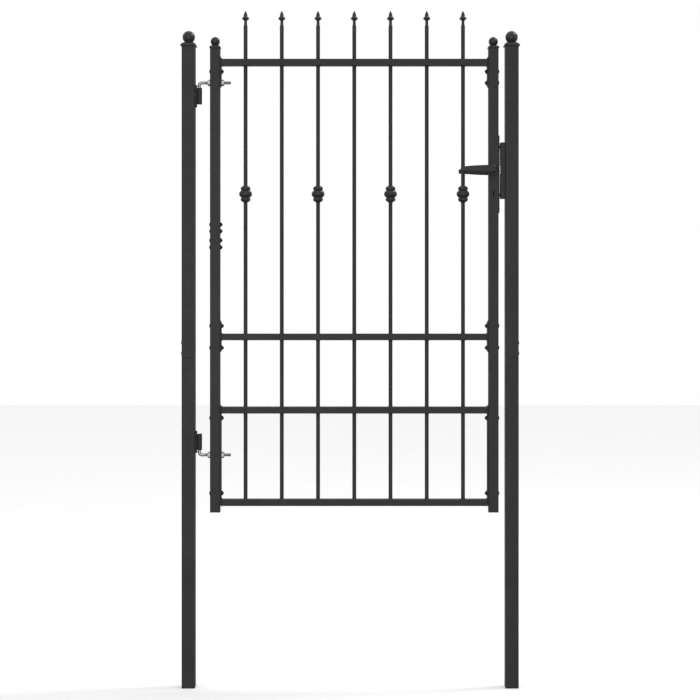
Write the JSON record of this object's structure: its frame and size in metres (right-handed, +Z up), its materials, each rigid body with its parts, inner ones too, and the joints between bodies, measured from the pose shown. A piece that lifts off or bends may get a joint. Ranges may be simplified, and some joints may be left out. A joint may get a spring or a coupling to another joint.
{
  "type": "garden gate",
  "caption": "Single metal garden gate of round pickets with spear tips, hung on bent-rod hinges between two ball-capped posts, with a lever-handle lock.",
  "frame": {"origin": "middle of the opening between the posts, on the plane of their undersides", "axes": "+X across the opening from the hinge post to the lock post, +Y from the outside (the side the leaf opens to) to the inside, +Z up"},
  "size_m": [1.0276, 0.104, 2.0525],
  "materials": {
    "powder_coat": "satin black powder coat",
    "coated_castings": "satin black powder coat on castings",
    "coated_handle": "fine satin black coat",
    "black_fastener": "black zinc",
    "black_plastic": "moulded",
    "bright_zinc": "bright zinc plate",
    "bare_steel": "bare machined steel"
  },
  "bodies": {
    "posts": {"hinge_bracket_lower": "powder_coat", "hinge_bracket_screws": "black_fastener", "hinge_bracket_upper": "powder_coat", "keep": "powder_coat", "keep_screws": "black_fastener", "post_cap_left": "coated_castings", "post_cap_right": "coated_castings", "post_foot_plug_left": "black_plastic", "post_foot_plug_right": "black_plastic", "post_lower_left": "powder_coat", "post_lower_right": "powder_coat", "post_screws": "black_fastener", "post_spigot_left": "powder_coat", "post_spigot_right": "powder_coat", "post_upper_left": "powder_coat", "post_upper_right": "powder_coat"},
    "gate_leaf": {"bracket_plate_lower_left": "powder_coat", "bracket_plate_lower_right": "powder_coat", "bracket_plate_middle_left": "powder_coat", "bracket_plate_middle_right": "powder_coat", "bracket_plate_top_left": "powder_coat", "bracket_plate_top_right": "powder_coat", "carriage_bolts": "black_fastener", "flange_nuts": "black_fastener", "forend_screws": "black_fastener", "handle_roses": "coated_handle", "hinge_bolt_lower": "bright_zinc", "hinge_bolt_upper": "bright_zinc", "hinge_nuts": "bright_zinc", "key_escutcheons": "coated_handle", "latch_spring": "bare_steel", "left_stile_lower": "powder_coat", "left_stile_sleeve": "powder_coat", "left_stile_upper": "powder_coat", "lock_case": "bare_steel", "lock_forend": "powder_coat", "picket_1": "powder_coat", "picket_2": "powder_coat", "picket_3": "powder_coat", "picket_4": "powder_coat", "picket_5": "powder_coat", "picket_6": "powder_coat", "picket_7": "powder_coat", "picket_collars": "coated_castings", "rail_bottom": "powder_coat", "rail_lower_middle": "powder_coat", "rail_top": "powder_coat", "rail_upper_middle": "powder_coat", "right_stile": "powder_coat", "spear_tips": "coated_castings", "stile_cap_left": "coated_castings", "stile_cap_right": "coated_castings", "stile_foot_plugs": "black_plastic"},
    "handle": {"handle_front": "coated_handle", "handle_back": "coated_handle", "handle_spindle": "bare_steel", "hub": "bare_steel"},
    "latch": {"latch_bolt": "bare_steel"},
    "deadbolt": {"deadbolt": "bare_steel"}
  },
  "joints": [
    {"name": "gate_swing", "type": "hinge", "parent": "posts", "child": "gate_leaf", "pos_m": [-0.4578, 0, 1.2], "axis": [0, 0, -1], "range_deg": [0, 95]},
    {"name": "handle_turn", "type": "hinge", "parent": "gate_leaf", "child": "handle", "pos_m": [0.4345, 0, 1.57], "axis": [0, -1, 0], "range_deg": [0, 35], "stiffness_Nm_per_rad": 0.8, "springref_deg": -28.65},
    {"name": "latch_slide", "type": "slide", "parent": "gate_leaf", "child": "latch", "axis": [-1, 0, 0], "range_m": [0, 0.0105], "deforming": ["latch_spring"]},
    {"name": "deadbolt_throw", "type": "slide", "parent": "gate_leaf", "child": "deadbolt", "axis": [1, 0, 0], "range_m": [0, 0.0125]}
  ],
  "couplings": [
    {"joint": "latch_slide", "follows": "handle_turn", "m_per_rad": 0.017188}
  ]
}
